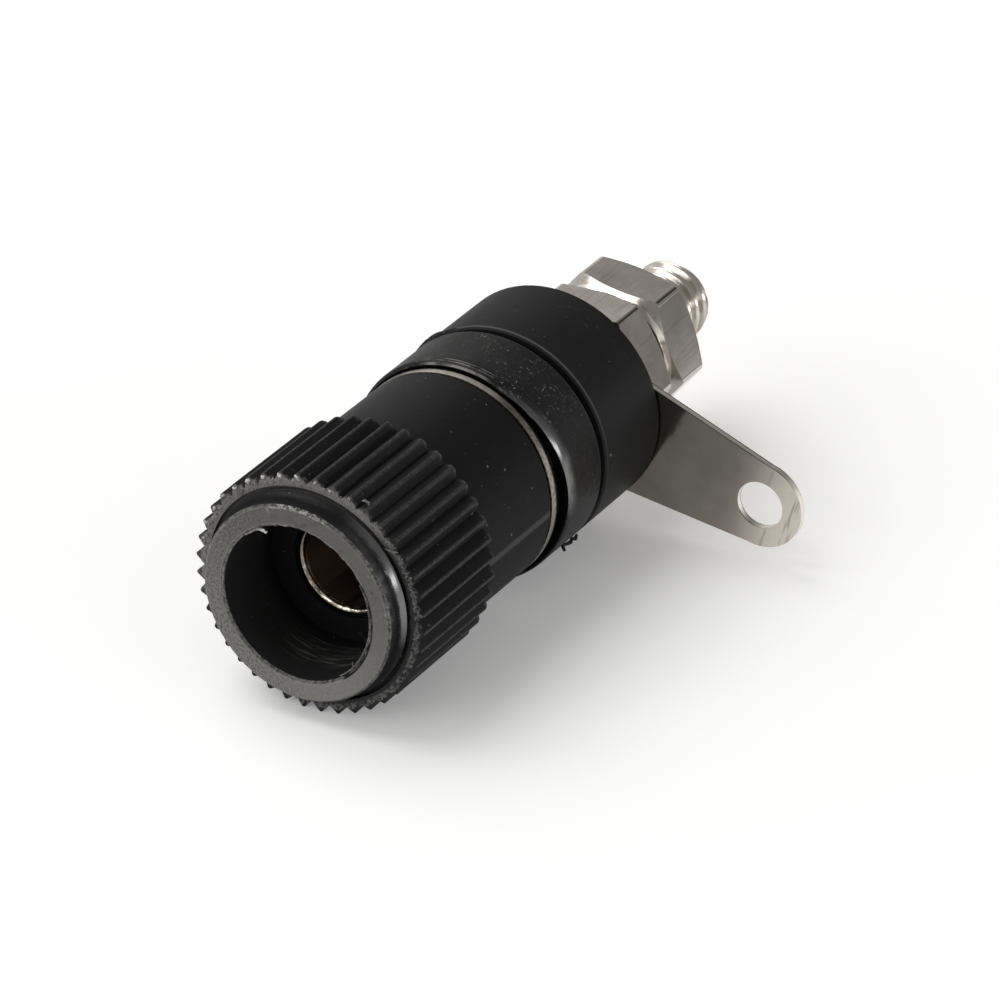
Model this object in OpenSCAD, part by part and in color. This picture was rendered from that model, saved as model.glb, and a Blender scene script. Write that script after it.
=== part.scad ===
// Banana socket (binding post) for a panel: a ribbed thumb nut on a threaded metal post,
// a clamp washer, two insulating bushings that grip the panel, a solder lug and two nuts.
// The axis is horizontal. The mouth faces -Y, the stud points to +Y and +Z is up.
// The origin is the centre of the panel seat, the rear face of the front bushing's collar.

/* [Thumb nut] */
// Diameter of the lip round the mouth
lip_d = 9.4; // [8.6:0.1:9.6]
// Height of the lip in front of the grip
lip_h = 1.1; // [0.8:0.1:2]
// Radial flare at the root of the lip
lip_flare = 0.2; // [0.1:0.05:0.3]
// Length of that flare
lip_flare_len = 0.4; // [0.2:0.05:0.6]
// Width of the groove between the lip and the grip
lip_groove_w = 0.2; // [0.1:0.05:0.25]
// Depth of that groove
lip_groove_depth = 0.3; // [0.1:0.05:0.5]
// Diameter of the recess that takes the plug's shroud
recess_d = 7.4; // [6:0.1:7.8]
// Depth of the recess
recess_depth = 4; // [3:0.1:5]
// Diameter over the rib tips
grip_d = 11.5; // [11.4:0.1:13]
// Length of the ribbed grip
grip_len = 6.1; // [4:0.1:8]
// Number of ribs
rib_count = 40; // [30:1:44]
// Depth of the grooves between the ribs
rib_depth = 0.42; // [0.25:0.01:0.5]
// Radius of the rib tips
rib_tip_r = 0.12; // [0.08:0.01:0.15]
// Radius of the ribs' rear ends
rib_end_r = 0.2; // [0.1:0.05:0.4]
// Angle of one rib round the axis
rib_angle = 5; // [0:1:9]
// Diameter of the smooth barrel
barrel_d = 10.4; // [10:0.1:10.5]
// Overall length of the thumb nut
thumb_nut_len = 13; // [12:0.1:16]
// Thickness of the web at the bottom of the recess
web_t = 1; // [0.6:0.1:1.5]
// Small bevel on the moulded edges
mould_bevel = 0.12; // [0.05:0.01:0.2]

/* [Threaded insert] */
// Outer diameter of the insert
insert_d = 8.2; // [7.4:0.1:8.6]
// Length of the insert
insert_len = 7; // [4:0.1:7.5]
// Depth of the groove that holds the insert in the plastic
insert_groove_depth = 0.3; // [0.1:0.05:0.4]
// Width of that groove
insert_groove_w = 1.4; // [0.8:0.1:2]

/* [Post] */
// Diameter of the socket for the plug's pin
socket_d = 4.1; // [3.9:0.05:4.2]
// Depth of the socket's straight wall
socket_depth = 10; // [8:0.1:11.5]
// Metal between the end of that wall and the back of the flange
socket_floor_t = 0.9; // [0.7:0.05:1.5]
// Countersink at the socket's mouth
socket_bevel = 0.15; // [0.05:0.01:0.2]
// Diameter of the nose in the bottom of the recess
nose_d = 4.8; // [4.5:0.05:4.9]
// Diameter over the thread for the thumb nut
thread_d = 6; // [5.6:0.1:6.4]
// Lead-in bevel at the front of that thread
thread_bevel = 0.35; // [0.1:0.05:0.5]
// Diameter of the cross hole for a bare wire
wire_hole_d = 2.2; // [1.5:0.1:2.4]
// Distance of the cross hole's centre in front of the collar
wire_hole_out = 2.1; // [1.9:0.1:2.4]
// Width across the flats of the post's hexagonal flange
flange_af = 7; // [6.6:0.1:7.6]
// Thickness of the flange, which grows where a deep socket needs it
flange_t = 1.4; // [1:0.1:2]
// Diameter over the stud's thread
stud_d = 4; // [3.5:0.1:4.2]
// Length of stud behind the lock nut
stud_out = 4.15; // [2:0.05:12]
// Bevel at the end of the stud
stud_bevel = 0.45; // [0.2:0.05:0.6]

/* [Clamp washer] */
// Diameter of the clamp washer
washer_d = 10.4; // [9:0.1:10.8]
// Thickness of the clamp washer
washer_t = 0.45; // [0.3:0.05:0.8]

/* [Bushings] */
// Diameter of both bushings
bushing_d = 10.9; // [10.6:0.1:13]
// Length of the front bushing's collar
collar_len = 3.45; // [2.8:0.05:5]
// Radius of the collar's front edge
collar_edge_r = 0.3; // [0.1:0.05:0.5]
// Diameter of the spigot that passes through the panel
spigot_d = 7; // [6:0.1:8]
// Gap between the bushings with no panel in place
panel_gap = 0.55; // [0.2:0.05:2]
// Length of the spigot inside the rear bushing
spigot_seat = 2.45; // [1.5:0.05:3.5]
// Length of the rear bushing
rear_bushing_len = 4.9; // [4.2:0.1:8]

/* [Solder lug] */
// Sheet thickness of the lug
lug_t = 0.35; // [0.2:0.05:0.8]
// Radius of the lug's end round the stud
lug_ring_r = 3.4; // [3:0.1:4.5]
// Radius of the lug's free end
lug_tip_r = 2.1; // [1.6:0.1:2.6]
// Distance from the stud's axis to the lug's hole
lug_reach = 11; // [9:0.1:16]
// Diameter of the hole for the wire
lug_hole_d = 2.3; // [1.5:0.1:2.6]
// Direction of the lug round the axis
lug_angle = -15; // [-180:1:180]

/* [Nuts] */
// Width of the nuts across the flats
nut_af = 7; // [6.5:0.1:8]
// Height of each nut
nut_h = 3.1; // [2.4:0.1:4]
// Diameter of the flat ring on a nut's ends
nut_face_d = 6; // [5:0.1:6.4]
// Slope of the nuts' end bevels
nut_bevel_angle = 32; // [20:1:36]
// Radius of the nuts' upright corners
nut_corner_r = 0.3; // [0.1:0.05:0.6]
// Countersink of the nuts' threads
nut_sink = 0.25; // [0.1:0.05:0.4]
// Direction of one corner of the nut behind the lug
lug_nut_angle = 57; // [0:1:60]
// Direction of one corner of the lock nut
lock_nut_angle = 51; // [0:1:60]
// Outer diameter of the spring washer
spring_washer_d = 7.2; // [6.4:0.1:8]
// Thickness of the spring washer when it is clamped flat
spring_washer_t = 0.9; // [0.6:0.05:1.2]
// Width of the spring washer's slit
slit_w = 0.5; // [0.2:0.1:0.8]
// Slope of that slit
slit_angle = 30; // [0:1:40]
// Direction of that slit round the axis
slit_direction = -120; // [-180:1:180]

/* [Clearances] */
// Radial clearance of a thread drawn as a plain cylinder
thread_clear = 0.05; // [0.02:0.01:0.08]
// Radial clearance of a piece that slides over a thread
slide_clear = 0.15; // [0.1:0.01:0.3]
// Gap between faces that meet when the thumb nut is screwed home
face_clear = 0.05; // [0.02:0.01:0.1]
// Clearance on each side of a seat
seat_clear = 0.03; // [0.02:0.01:0.08]

/* [Hidden] */
$fn = 96;
// Length by which cuts overshoot a face and joined forms overlap
lap = 0.5;
// Sides of a hexagon
hex_sides = 6;
// Half of the angle of a drill's point
drill_half_angle = 59;
// Share of a radius at which a straight edge meets a round end
inside_tangent = 0.99;
plastic = "#202122";
nickel = "#b9b4ab";
brass = "#b08d4c";

// Places along the axis, counted from the panel seat towards the mouth
washer_back = collar_len + face_clear;
nut_back = washer_back + washer_t + face_clear;
nut_front = nut_back + thumb_nut_len;
shoulder = nut_front - lip_h;
recess_floor = nut_front - recess_depth;
web_back = recess_floor - web_t;
wire_hole_at = collar_len + wire_hole_out;
socket_end = recess_floor - socket_depth;
flange_back = min(collar_len - flange_t, socket_end - socket_floor_t);
spigot_end = -panel_gap - spigot_seat;
rear_back = -panel_gap - rear_bushing_len;
lug_back = rear_back - lug_t;
spring_back = lug_back - spring_washer_t;
lug_nut_back = spring_back - nut_h;
lock_nut_back = lug_nut_back - nut_h;
stud_end = lock_nut_back - stud_out;

// Radii
lip_r = lip_d / 2;
lip_root_r = lip_r + lip_flare;
grip_r = grip_d / 2;
barrel_r = barrel_d / 2;
socket_r = socket_d / 2;
nose_r = nose_d / 2;
thread_r = thread_d / 2;
stud_r = stud_d / 2;
stud_hole_r = stud_r + slide_clear;
collar_r = bushing_d / 2;
drill_point = socket_r / tan(drill_half_angle);

// Turns a piece built along +Z, mouth up, so that its mouth faces -Y
module along_axis() {
    rotate([90, 0, 0]) children();
}

// Straight round bar between two places along the axis
module bar(from, to, r) {
    translate([0, 0, from]) cylinder(h = to - from, r = r);
}

// Cone between two places along the axis
module cone(from, to, r_from, r_to) {
    translate([0, 0, from]) cylinder(h = to - from, r1 = r_from, r2 = r_to);
}

// Bar with a bevel on either end
module bevelled_bar(from, to, r, bevel_from = 0, bevel_to = 0) {
    rotate_extrude()
        polygon([
            [0, from], [r - bevel_from, from], [r, from + bevel_from],
            [r, to - bevel_to], [r - bevel_to, to], [0, to]
        ]);
}

// Hexagonal prism, measured across the flats
module hexagon(from, to, across, angle) {
    translate([0, 0, from])
        rotate(angle)
            cylinder(h = to - from, r = across / 2 / cos(180 / hex_sides), $fn = hex_sides);
}

// Outline of the grip: straight flanks that rise to a round tip on each rib
module ribbed_outline() {
    pitch = 360 / rib_count;
    centre_r = grip_r - rib_tip_r;
    root_r = grip_r - rib_depth;
    root_x = root_r * cos(pitch / 2);
    root_y = root_r * sin(pitch / 2);
    flank = atan2(centre_r - root_x, root_y);
    rise_x = centre_r + inside_tangent * rib_tip_r * cos(flank);
    rise_y = inside_tangent * rib_tip_r * sin(flank);
    polygon([
        for (i = [0 : rib_count - 1], corner = [[rise_x, -rise_y], [rise_x, rise_y], [root_x, root_y]])
            let (a = rib_angle + i * pitch)
                [corner.x * cos(a) - corner.y * sin(a), corner.x * sin(a) + corner.y * cos(a)]
    ]);
    for (i = [0 : rib_count - 1])
        rotate(rib_angle + i * pitch)
            translate([centre_r, 0])
                circle(r = rib_tip_r);
}

// Ribbed grip whose ribs end in a small round at the rear
module grip() {
    grip_back = shoulder - grip_len;
    intersection() {
        translate([0, 0, grip_back])
            linear_extrude(grip_len) ribbed_outline();
        rotate_extrude() {
            translate([0, grip_back + rib_end_r])
                square([grip_r + lap, grip_len - rib_end_r + lap]);
            translate([0, grip_back])
                square([grip_r - rib_end_r, grip_len]);
            translate([grip_r - rib_end_r, grip_back + rib_end_r])
                circle(r = rib_end_r);
        }
    }
}

// Lip round the mouth, with an arc that flares it at its root
module lip() {
    flare_top = shoulder + lip_flare_len;
    flare_r = (lip_flare_len * lip_flare_len + lip_flare * lip_flare) / (2 * lip_flare);
    rotate_extrude()
        difference() {
            polygon([
                [0, shoulder - lap], [lip_root_r, shoulder - lap], [lip_root_r, flare_top], [lip_r, flare_top],
                [lip_r, nut_front - mould_bevel], [lip_r - mould_bevel, nut_front], [0, nut_front]
            ]);
            translate([lip_r + flare_r, flare_top])
                circle(r = flare_r);
        }
}

// Groove that sets the lip off from the grip
module lip_groove() {
    floor = shoulder - lip_groove_depth;
    difference() {
        bar(floor, shoulder + lap, lip_root_r + lip_groove_w);
        bar(floor - lap, shoulder + 2 * lap, lip_root_r);
    }
}

// Outer form of the insert with its holding groove
module insert_form() {
    insert_r = insert_d / 2;
    floor_r = insert_r - insert_groove_depth;
    insert_back = web_back - insert_len;
    groove_back = insert_back + (insert_len - insert_groove_w) / 2;
    groove_front = groove_back + insert_groove_w;
    rotate_extrude()
        polygon([
            [0, insert_back], [insert_r, insert_back], [insert_r, groove_back], [floor_r, groove_back],
            [floor_r, groove_front], [insert_r, groove_front], [insert_r, web_back], [0, web_back]
        ]);
}

module thumb_nut() {
    color(plastic) along_axis() difference() {
        union() {
            lip();
            grip();
            bevelled_bar(nut_back, shoulder, barrel_r, bevel_from = mould_bevel);
        }
        lip_groove();
        bar(recess_floor, nut_front + lap, recess_d / 2);
        cone(nut_front - mould_bevel, nut_front, recess_d / 2, recess_d / 2 + mould_bevel);
        bar(web_back - lap, recess_floor + lap, nose_r + slide_clear);
        insert_form();
        bar(nut_back - lap, web_back, thread_r + slide_clear);
    }
}

module thread_insert() {
    color(brass) along_axis() difference() {
        insert_form();
        bar(web_back - insert_len - lap, web_back + lap, thread_r + thread_clear);
    }
}

module post() {
    color(nickel) along_axis() difference() {
        union() {
            bar(flange_back, recess_floor, nose_r);
            bevelled_bar(flange_back, web_back, thread_r, bevel_to = thread_bevel);
            hexagon(flange_back, collar_len, flange_af, 0);
            bevelled_bar(stud_end, flange_back, stud_r, bevel_from = stud_bevel);
        }
        bar(socket_end, recess_floor + lap, socket_r);
        cone(recess_floor - socket_bevel, recess_floor, socket_r, socket_r + socket_bevel);
        cone(socket_end - drill_point, socket_end, 0, socket_r);
        translate([0, 0, wire_hole_at])
            rotate([90, 0, 0])
                cylinder(h = thread_d + lap, r = wire_hole_d / 2, center = true);
    }
}

module clamp_washer() {
    color(nickel) along_axis() difference() {
        bar(washer_back, washer_back + washer_t, washer_d / 2);
        bar(washer_back - lap, washer_back + washer_t + lap, thread_r + slide_clear);
    }
}

module front_bushing() {
    color(plastic) along_axis() difference() {
        union() {
            rotate_extrude() {
                square([collar_r, collar_len - collar_edge_r]);
                square([collar_r - collar_edge_r, collar_len]);
                translate([collar_r - collar_edge_r, collar_len - collar_edge_r])
                    circle(r = collar_edge_r);
            }
            bevelled_bar(spigot_end, lap, spigot_d / 2, bevel_from = mould_bevel);
        }
        hexagon(flange_back, collar_len + lap, flange_af + 2 * seat_clear, 0);
        bar(spigot_end - lap, flange_back + lap, stud_hole_r);
    }
}

module rear_bushing() {
    color(plastic) along_axis() difference() {
        bevelled_bar(rear_back, -panel_gap, collar_r, bevel_from = mould_bevel, bevel_to = mould_bevel);
        bar(spigot_end, lap - panel_gap, spigot_d / 2 + seat_clear);
        bar(rear_back - lap, spigot_end + lap, stud_hole_r);
    }
}

// Sheet tag: two round ends and a tapered arm whose edges run just inside the tangent to both
module lug_sheet() {
    taper = asin((lug_ring_r - lug_tip_r) / lug_reach);
    touch = inside_tangent * [sin(taper), cos(taper)];
    ring_touch = lug_ring_r * touch;
    tip_touch = [lug_reach, 0] + lug_tip_r * touch;
    cylinder(h = lug_t, r = lug_ring_r);
    translate([lug_reach, 0, 0])
        cylinder(h = lug_t, r = lug_tip_r);
    linear_extrude(lug_t)
        polygon([
            ring_touch, tip_touch, [tip_touch.x, -tip_touch.y], [ring_touch.x, -ring_touch.y]
        ]);
}

module solder_lug() {
    color(nickel) along_axis()
        translate([0, 0, lug_back])
            rotate(lug_angle)
                difference() {
                    union() lug_sheet();
                    translate([0, 0, -lap])
                        cylinder(h = lug_t + 2 * lap, r = stud_hole_r);
                    translate([lug_reach, 0, -lap])
                        cylinder(h = lug_t + 2 * lap, r = lug_hole_d / 2);
                }
}

// Split lock washer, clamped flat
module spring_washer() {
    color(nickel) along_axis() difference() {
        bar(spring_back, lug_back, spring_washer_d / 2);
        bar(spring_back - lap, lug_back + lap, stud_hole_r);
        rotate(slit_direction)
            translate([spring_washer_d / 2, 0, (spring_back + lug_back) / 2])
                rotate([slit_angle, 0, 0])
                    cube([spring_washer_d, slit_w, spring_washer_d], center = true);
    }
}

// Outline of a nut: a hexagon with rounded corners
module nut_outline() {
    step = 360 / hex_sides;
    centre_r = (nut_af / 2 - nut_corner_r) / cos(step / 2);
    touch = inside_tangent * nut_corner_r;
    polygon([
        for (i = [0 : hex_sides - 1], side = [-1, 1])
            let (corner = i * step, flat = corner + side * step / 2)
                [centre_r * cos(corner) + touch * cos(flat), centre_r * sin(corner) + touch * sin(flat)]
    ]);
    for (i = [0 : hex_sides - 1])
        rotate(i * step)
            translate([centre_r, 0])
                circle(r = nut_corner_r);
}

// Hexagon nut behind the given place. Its bevels are cones that reach past the corners.
module hex_nut(front, angle) {
    back = front - nut_h;
    face_r = nut_face_d / 2;
    bore_r = stud_r + seat_clear;
    reach = nut_af / 2 / cos(180 / hex_sides) + lap;
    rise = (reach - face_r) * tan(nut_bevel_angle);
    difference() {
        intersection() {
            translate([0, 0, back])
                rotate(angle)
                    linear_extrude(nut_h) nut_outline();
            rotate_extrude()
                polygon([
                    [0, back], [face_r, back], [reach, back + rise],
                    [reach, front - rise], [face_r, front], [0, front]
                ]);
        }
        bar(back - lap, front + lap, bore_r);
        cone(back, back + nut_sink, bore_r + nut_sink, bore_r);
        cone(front - nut_sink, front, bore_r, bore_r + nut_sink);
    }
}

module lug_nut() {
    color(nickel) along_axis() hex_nut(spring_back, lug_nut_angle);
}

module lock_nut() {
    color(nickel) along_axis() hex_nut(lug_nut_back, lock_nut_angle);
}

thumb_nut();
thread_insert();
post();
clamp_washer();
front_bushing();
rear_bushing();
solder_lug();
spring_washer();
lug_nut();
lock_nut();
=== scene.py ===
"""Looks of a 4 mm binding post: black mouldings, plated metal, cut threads and mould flash."""

import math
import random

import bmesh
import bpy
from mathutils import Matrix, Vector


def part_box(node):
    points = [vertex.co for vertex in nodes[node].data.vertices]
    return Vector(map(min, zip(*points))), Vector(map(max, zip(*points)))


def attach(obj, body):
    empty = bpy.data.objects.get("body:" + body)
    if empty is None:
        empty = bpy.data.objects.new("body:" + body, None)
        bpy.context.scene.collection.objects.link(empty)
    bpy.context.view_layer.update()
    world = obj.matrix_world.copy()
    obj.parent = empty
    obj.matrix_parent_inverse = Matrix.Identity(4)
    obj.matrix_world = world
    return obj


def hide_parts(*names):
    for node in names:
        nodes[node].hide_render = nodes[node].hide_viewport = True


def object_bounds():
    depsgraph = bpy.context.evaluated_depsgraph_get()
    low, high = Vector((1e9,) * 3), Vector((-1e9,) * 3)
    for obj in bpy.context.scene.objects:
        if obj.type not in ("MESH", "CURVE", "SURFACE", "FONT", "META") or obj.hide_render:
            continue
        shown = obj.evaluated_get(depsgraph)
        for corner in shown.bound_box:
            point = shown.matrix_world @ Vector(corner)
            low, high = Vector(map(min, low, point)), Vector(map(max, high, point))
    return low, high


MM = 0.001
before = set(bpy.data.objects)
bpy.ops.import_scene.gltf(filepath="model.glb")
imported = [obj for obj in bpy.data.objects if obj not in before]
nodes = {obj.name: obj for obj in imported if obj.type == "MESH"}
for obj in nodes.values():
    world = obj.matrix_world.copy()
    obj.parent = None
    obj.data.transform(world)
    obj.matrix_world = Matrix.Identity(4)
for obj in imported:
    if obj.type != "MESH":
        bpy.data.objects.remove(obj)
cad_low, cad_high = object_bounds()
scene = bpy.context.scene
draw = random.Random(4)


def ends_along(node):
    """Front and back of a CAD node on the socket's axis, in millimetres."""
    low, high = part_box(node)
    return low.y / MM, high.y / MM


# Sizes in millimetres: places along Y come from the frame, the rest are the part's own
LIP_LEN = 1.1
GRIP_LEN = 6.1
MOUTH_Y, CAP_BACK_Y = ends_along("thumb_nut")
SHOULDER_Y = MOUTH_Y + LIP_LEN
GRIP_BACK_Y = SHOULDER_Y + GRIP_LEN
NOSE_Y, STUD_END_Y = ends_along("post")
WASHER_BACK_Y = ends_along("clamp_washer")[1]
COLLAR_FRONT_Y = ends_along("front_bushing")[0]
SEAT_Y = 0.0
REAR_BUSHING_Y = ends_along("rear_bushing")[0]
LUG_FRONT_Y, LUG_BACK_Y = ends_along("solder_lug")
LOCK_NUT_Y = ends_along("lock_nut")[0]
LIP_R = 4.7
LIP_ROOT_R = 4.9
LIP_GROOVE_R = 5.1
RECESS_R = 3.7
GRIP_R = 5.75
RIB_ROOT_R = 5.33
BARREL_R = 5.2
BUSHING_R = 5.45
SOCKET_R = 2.05
POST_THREAD_R = 3.0
POST_PITCH = 1.0
STUD_R = 2.0
STUD_PITCH = 0.7
RIB_COUNT = 40
RIB_ANGLE = 5.0
LUG_ANGLE = -15.0
LUG_REACH = 11.0

# Gap behind the washer: the rim's fall on the right, and the breadth of its painted shade there and
# elsewhere
GAP_FALL = 0.45
GAP_SHADE_BREADTH = 0.60
GAP_SHADE_LEAST = 0.04

# Clock angles round the axis in degrees: 0 is the lug's side, 90 is up
GAP_CLOCK = -10.0
GLOSS_CLOCK = 26.0
UPPER_LEFT_CLOCK = 125.0


# Camera and lamps. The mouth's place is in millimetres from the camera
CAMERA_AZIMUTH = math.radians(30.149)
CAMERA_ELEVATION = math.radians(28.682)
MOUTH_RIGHT, MOUTH_DOWN, MOUTH_AHEAD = -8.75, 4.488, 256.962
LENS_MM = 216
SENSOR_MM = 36


def view_axes():
    """Right, up and forward of the camera in the part's frame."""
    sin_a, cos_a = math.sin(CAMERA_AZIMUTH), math.cos(CAMERA_AZIMUTH)
    sin_e, cos_e = math.sin(CAMERA_ELEVATION), math.cos(CAMERA_ELEVATION)
    right = Vector((cos_a, sin_a, 0))
    forward = Vector((-sin_a * cos_e, cos_a * cos_e, -sin_e))
    return right, right.cross(forward), forward


def place_camera():
    right, up, forward = view_axes()
    mouth = Vector((0, MOUTH_Y, 0))
    place = mouth - MOUTH_RIGHT * right + MOUTH_DOWN * up - MOUTH_AHEAD * forward
    data = bpy.data.cameras.new("camera")
    data.sensor_width = SENSOR_MM
    data.lens = LENS_MM
    data.clip_start = 0.01
    camera = bpy.data.objects.new("camera", data)
    scene.collection.objects.link(camera)
    turn = Matrix((right, up, -forward)).transposed().to_4x4()
    camera.matrix_world = Matrix.Translation(place * MM) @ turn
    scene.camera = camera


def softbox(name, azimuth, elevation, distance, width, height, watts):
    """Area lamp that faces the part. Azimuth 0 is straight in front of the mouth, 90 on its right."""
    data = bpy.data.lights.new(name, "AREA")
    data.shape = "RECTANGLE"
    data.size = width
    data.size_y = height
    data.energy = watts
    lamp = bpy.data.objects.new(name, data)
    scene.collection.objects.link(lamp)
    a, e = math.radians(azimuth), math.radians(elevation)
    back = Vector((math.sin(a) * math.cos(e), -math.cos(a) * math.cos(e), math.sin(e)))
    lamp.location = back * distance
    lamp.rotation_euler = back.to_track_quat("Z", "Y").to_euler()


# Node helpers
def fill(tree, socket, value):
    """Links a socket's value, or sets it where it is a plain number, colour or vector."""
    if isinstance(value, bpy.types.NodeSocket):
        tree.links.new(value, socket)
    else:
        socket.default_value = value


def add(tree, kind, inputs=None, **settings):
    """New node with its settings, and its inputs set or linked."""
    made = tree.nodes.new(kind)
    for name, value in settings.items():
        setattr(made, name, value)
    for name, value in (inputs or {}).items():
        fill(tree, made.inputs[name], value)
    return made


def maths(tree, operation, *values):
    made = add(tree, "ShaderNodeMath", dict(enumerate(values)), operation=operation)
    return made.outputs[0]


def product(tree, *values):
    result = values[0]
    for value in values[1:]:
        result = maths(tree, "MULTIPLY", result, value)
    return result


def ease(tree, value, low, high, out_low=0.0, out_high=1.0):
    """Smooth step from out_low at low to out_high at high."""
    made = add(
        tree,
        "ShaderNodeMapRange",
        {"Value": value, "From Min": low, "From Max": high, "To Min": out_low, "To Max": out_high},
        interpolation_type="SMOOTHSTEP",
    )
    return made.outputs["Result"]


def near(tree, value, centre, half, soft):
    """1 within half of the centre, falling to 0 over soft."""
    away = maths(tree, "ABSOLUTE", maths(tree, "SUBTRACT", value, centre))
    return ease(tree, away, half, half + soft, 1.0, 0.0)


def facing(tree, clock, degrees):
    """1 on the side that looks to this clock angle, falling to -1 opposite it."""
    turned = maths(tree, "SUBTRACT", clock, degrees)
    return maths(tree, "COSINE", maths(tree, "RADIANS", turned))


def blend_colour(tree, share, first, second):
    made = add(tree, "ShaderNodeMix", data_type="RGBA")
    fill(tree, made.inputs[0], share)
    fill(tree, made.inputs[6], first)
    fill(tree, made.inputs[7], second)
    return made.outputs[2]


def blend_value(tree, share, first, second):
    made = add(tree, "ShaderNodeMix", {0: share, 2: first, 3: second}, data_type="FLOAT")
    return made.outputs[0]


def stretched_noise(tree, point, stretch, scale, detail=2.0, rough=0.55, turn=(0, 0, 0)):
    """Noise on a point that is turned and stretched first."""
    mapped = add(tree, "ShaderNodeMapping", {"Vector": point, "Rotation": turn, "Scale": stretch})
    noise = add(
        tree,
        "ShaderNodeTexNoise",
        {"Vector": mapped.outputs[0], "Scale": scale, "Detail": detail, "Roughness": rough},
    )
    return noise.outputs["Fac"]


def even_noise(tree, point, scale, detail, rough):
    """Noise that is alike in every direction."""
    return stretched_noise(tree, point, (1, 1, 1), scale, detail, rough)


def new_group(name, inputs, outputs):
    """Empty node group. Returns its tree, what it is given and what it puts out."""
    tree = bpy.data.node_groups.new(name, "ShaderNodeTree")
    for title, kind, value in inputs:
        socket = tree.interface.new_socket(title, in_out="INPUT", socket_type=kind)
        if value is not None:
            socket.default_value = value
    for title, kind in outputs:
        tree.interface.new_socket(title, in_out="OUTPUT", socket_type=kind)
    return tree, add(tree, "NodeGroupInput").outputs, add(tree, "NodeGroupOutput").inputs


FLOAT, VECTOR = "NodeSocketFloat", "NodeSocketVector"


def make_axis_place():
    """Where a point lies on the socket's axis, in millimetres."""
    tree, given, out = new_group(
        "axis_place",
        [("Point", VECTOR, None)],
        [("Millimetres", VECTOR), ("Radius", FLOAT), ("Along", FLOAT), ("Clock", FLOAT)],
    )
    scaled = add(tree, "ShaderNodeVectorMath", {0: given["Point"], "Scale": 1 / MM}, operation="SCALE")
    parts = add(tree, "ShaderNodeSeparateXYZ", {0: scaled.outputs[0]}).outputs
    square = maths(tree, "ADD", product(tree, parts[0], parts[0]), product(tree, parts[2], parts[2]))
    angle = maths(tree, "ARCTAN2", parts[2], parts[0])
    tree.links.new(scaled.outputs[0], out["Millimetres"])
    tree.links.new(maths(tree, "SQRT", square), out["Radius"])
    tree.links.new(parts[1], out["Along"])
    tree.links.new(maths(tree, "DEGREES", angle), out["Clock"])
    return tree


def make_dust():
    """Sparse pale specks."""
    tree, given, out = new_group(
        "dust",
        [("Millimetres", VECTOR, None), ("Cells", FLOAT, 2.2), ("Share", FLOAT, 0.3), ("Size", FLOAT, 0.1)],
        [("Specks", FLOAT)],
    )
    point = given["Millimetres"]
    wobble = add(tree, "ShaderNodeTexNoise", {"Vector": point, "Scale": 9.0, "Detail": 2.0})
    shift = add(
        tree,
        "ShaderNodeVectorMath",
        {0: wobble.outputs["Color"], 1: (0.12, 0.12, 0.12), 2: point},
        operation="MULTIPLY_ADD",
    ).outputs[0]
    cells = add(tree, "ShaderNodeTexVoronoi", {"Vector": shift, "Scale": given["Cells"], "Randomness": 1.0})
    chance = add(tree, "ShaderNodeSeparateColor", {0: cells.outputs["Color"]}).outputs
    chosen = maths(tree, "LESS_THAN", chance[0], given["Share"])
    size = product(tree, given["Size"], maths(tree, "ADD", chance[1], 0.35))
    close = maths(tree, "SUBTRACT", 1.0, maths(tree, "DIVIDE", cells.outputs["Distance"], size))
    speck = ease(tree, close, 0.0, 0.7)
    strength = maths(tree, "MULTIPLY_ADD", product(tree, chance[2], chance[2]), 0.9, 0.1)
    tree.links.new(product(tree, speck, chosen, strength), out["Specks"])
    return tree


def make_scuffs():
    """Patches of fine scratches in three directions."""
    tree, given, out = new_group(
        "scuffs",
        [("Millimetres", VECTOR, None), ("Reach", FLOAT, 0.5)],
        [("Scratches", FLOAT), ("Clouds", FLOAT)],
    )
    point = given["Millimetres"]
    lines = 0.0
    for turn, stretch in (
        ((0.3, 0.4, 0.5), (1.4, 8.0, 1.6)),
        ((0.9, -0.3, 1.1), (1.7, 7.0, 1.3)),
        ((-0.4, 0.8, -0.7), (1.2, 9.0, 1.5)),
    ):
        line = ease(tree, stretched_noise(tree, point, stretch, 1.0, 1.0, 0.5, turn), 0.66, 0.74)
        lines = maths(tree, "MAXIMUM", lines, line)
    cloud = add(tree, "ShaderNodeTexNoise", {"Vector": point, "Scale": 0.55, "Detail": 3.0}).outputs["Fac"]
    patch = ease(tree, cloud, maths(tree, "SUBTRACT", 1.0, given["Reach"]), 0.8)
    tree.links.new(product(tree, lines, patch), out["Scratches"])
    tree.links.new(cloud, out["Clouds"])
    return tree


def make_grain():
    """Height of a moulded or cast skin."""
    tree, given, out = new_group(
        "grain", [("Millimetres", VECTOR, None), ("Scale", FLOAT, 10.0)], [("Height", FLOAT)]
    )
    point = given["Millimetres"]
    fine = add(tree, "ShaderNodeTexNoise", {"Vector": point, "Scale": given["Scale"], "Detail": 3.0})
    broad = add(tree, "ShaderNodeTexNoise", {"Vector": point, "Scale": 1.4, "Detail": 2.0})
    height = maths(tree, "MULTIPLY_ADD", broad.outputs["Fac"], 0.6, fine.outputs["Fac"])
    tree.links.new(height, out["Height"])
    return tree


AXIS_PLACE, DUST, SCUFFS, GRAIN = make_axis_place(), make_dust(), make_scuffs(), make_grain()


def use(tree, group, **inputs):
    made = add(tree, "ShaderNodeGroup", node_tree=group)
    for name, value in inputs.items():
        fill(tree, made.inputs[name], value)
    return made.outputs


def new_material(name):
    """Material with its place on the axis ready. Returns material, tree, shader and place."""
    material = bpy.data.materials.new(name)
    material.use_nodes = True
    tree = material.node_tree
    shader = tree.nodes["Principled BSDF"]
    point = add(tree, "ShaderNodeTexCoord").outputs["Object"]
    return material, tree, shader, use(tree, AXIS_PLACE, Point=point)


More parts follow.
